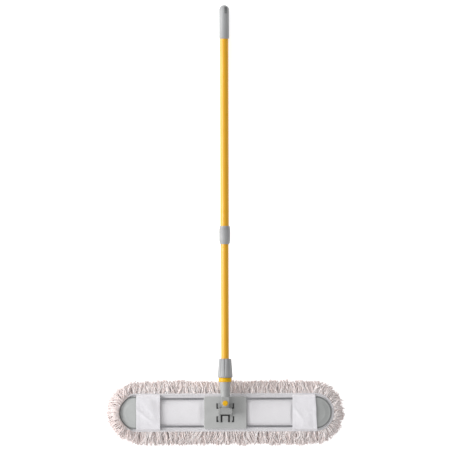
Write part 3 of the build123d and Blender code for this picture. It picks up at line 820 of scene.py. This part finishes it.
def make_sole():
    """Rows of strands under the backing, laid over to both sides, with one piece for each side."""
    half = COVER_HALF - 30 * MM
    width = COVER_RADIUS - 12 * MM
    for side, name in ((-1, "sole_yarn_1"), (1, "sole_yarn_2")):
        rng = np.random.default_rng(SOLE_SEED + side)
        paths, tones = [], []
        for row in range(SOLE_ROWS):
            row_y = width * (2 * row / (SOLE_ROWS - 1) - 1) - side * 6 * MM
            inset = COVER_RADIUS - math.sqrt(max(COVER_RADIUS**2 - row_y**2, 0))
            for x in np.arange(-half + inset, half - inset, SOLE_PITCH):
                paths.append(sole_path(rng, x + rng.normal(0, 0.8 * MM), row_y, side))
                tones.append(rng.uniform(0.1, 0.95))
        radii = rng.uniform(1.4, 1.8, len(paths)) * MM
        piece = yarn_mesh(name, paths, radii, tones, SOLE_TWIST_SEED + side, sides=6)
        fit_out(piece, HEAD, "yarn", FINISHES["yarn"], "yarn_pad")


# The studio

KEY_PLACE = (-1.0, 0.06, 0.44)  # only its direction from the origin counts
KEY_STRENGTH = 2.15
KEY_SPREAD = math.radians(42)  # how wide the key looks, which is how soft its shadows are
ROOM_STRENGTH = 0.44
FLOOR_REACH = 40.0
FLOOR_GLOW = 0.55
WHITE = (1.0, 1.0, 1.0, 1.0)


def floor_material():
    """A pale seamless floor, which its own glow keeps close to white."""
    look = Look("studio_floor", 0.9)
    patch = look.remap(look.noise(0.4, 2.0), 0.3, 0.7)
    look.wire("Base Color", look.mix(patch, (0.86, 0.86, 0.86, 1), (0.9, 0.9, 0.9, 1)))
    look.shader.inputs["Emission Color"].default_value = WHITE
    look.shader.inputs["Emission Strength"].default_value = FLOOR_GLOW
    return look.material


def make_floor():
    """A level floor under the middle of the mop, out past the edge of any view."""
    low, high = CAD_BOUNDS
    middle = (low[1] + high[1]) / 2
    corners = ((-1, -1), (1, -1), (1, 1), (-1, 1))
    points = [(sx * FLOOR_REACH, middle + sy * FLOOR_REACH, 0) for sx, sy in corners]
    floor = build_mesh("studio_floor", points, [(0, 1, 2, 3)])
    floor.data.materials.append(floor_material())


def place_light(light, place, target):
    """Hangs a light at a place, turned towards its target."""
    lamp = bpy.data.objects.new(light.name, light)
    lamp.location = place
    lamp.rotation_euler = (Vector(target) - lamp.location).to_track_quat("-Z", "Y").to_euler()
    bpy.context.scene.collection.objects.link(lamp)


def area_light(name, place, target, size, watts):
    """A rectangular light, of this width and height."""
    light = bpy.data.lights.new(name, "AREA")
    light.shape = "RECTANGLE"
    light.size, light.size_y = size
    light.energy = watts
    place_light(light, place, target)


def make_lights():
    """A wide key, low on the left, softer lights round it, and a pale room."""
    key = bpy.data.lights.new("key", "SUN")
    key.energy = KEY_STRENGTH
    key.angle = KEY_SPREAD
    place_light(key, KEY_PLACE, (0, 0, 0))
    area_light("window", (-2.4, 0.8, 0.9), (0, 0.5, 0), (1.0, 3.0), 19)
    area_light("back", (-0.7, 2.6, 1.3), (0, 0.2, 0), (2.4, 1.4), 9)
    area_light("front", (-0.5, -2.0, 1.3), (0, 0.2, 0), (2.4, 1.4), 6)
    area_light("top", (-0.9, 0.3, 3.3), (0, 0.4, 0), (2.6, 2.6), 17)
    world = bpy.data.worlds.new("studio")
    world.use_nodes = True
    background = world.node_tree.nodes["Background"]
    background.inputs["Color"].default_value = WHITE
    background.inputs["Strength"].default_value = ROOM_STRENGTH
    bpy.context.scene.world = world


FOCAL_LENGTH = 200.0  # mm, as is the sensor's width
SENSOR = 36.0
CLIP_END = 30.0
VIEW_MARGIN = 1.0266  # the picture's width, over the length of the mop
VIEW_HEIGHT = 30 * MM  # the height at which the picture is that wide
AIM_RIGHT = 3.6 * MM  # the camera is this far right of the middle of the head
AIM_BELOW = 3.8 * MM  # and this far short of the middle of the mop's length
ROLL = math.radians(-0.17)


def make_camera():
    """Straight down on the mop, with the handle up the picture, and plain colours."""
    low, high = CAD_BOUNDS
    camera = bpy.data.cameras.new("camera")
    camera.lens = FOCAL_LENGTH
    camera.sensor_width = SENSOR
    camera.clip_end = CLIP_END
    eye = bpy.data.objects.new("camera", camera)
    distance = VIEW_MARGIN * (high[1] - low[1]) * FOCAL_LENGTH / SENSOR
    eye.location = (AIM_RIGHT, (low[1] + high[1]) / 2 - AIM_BELOW, VIEW_HEIGHT + distance)
    eye.rotation_euler = (0, 0, ROLL)
    bpy.context.scene.collection.objects.link(eye)
    bpy.context.scene.camera = eye
    bpy.context.scene.view_settings.view_transform = "Standard"
    bpy.context.scene.view_settings.look = "None"


make_camera()
make_lights()
make_floor()
finish_cad_nodes()
backing = make_backing()
hem = make_hem()
hem_thread = hem_stitches()
bands = [make_band(-1), make_band(1)]
band_thread = band_stitches()
make_fringe()
make_sole()
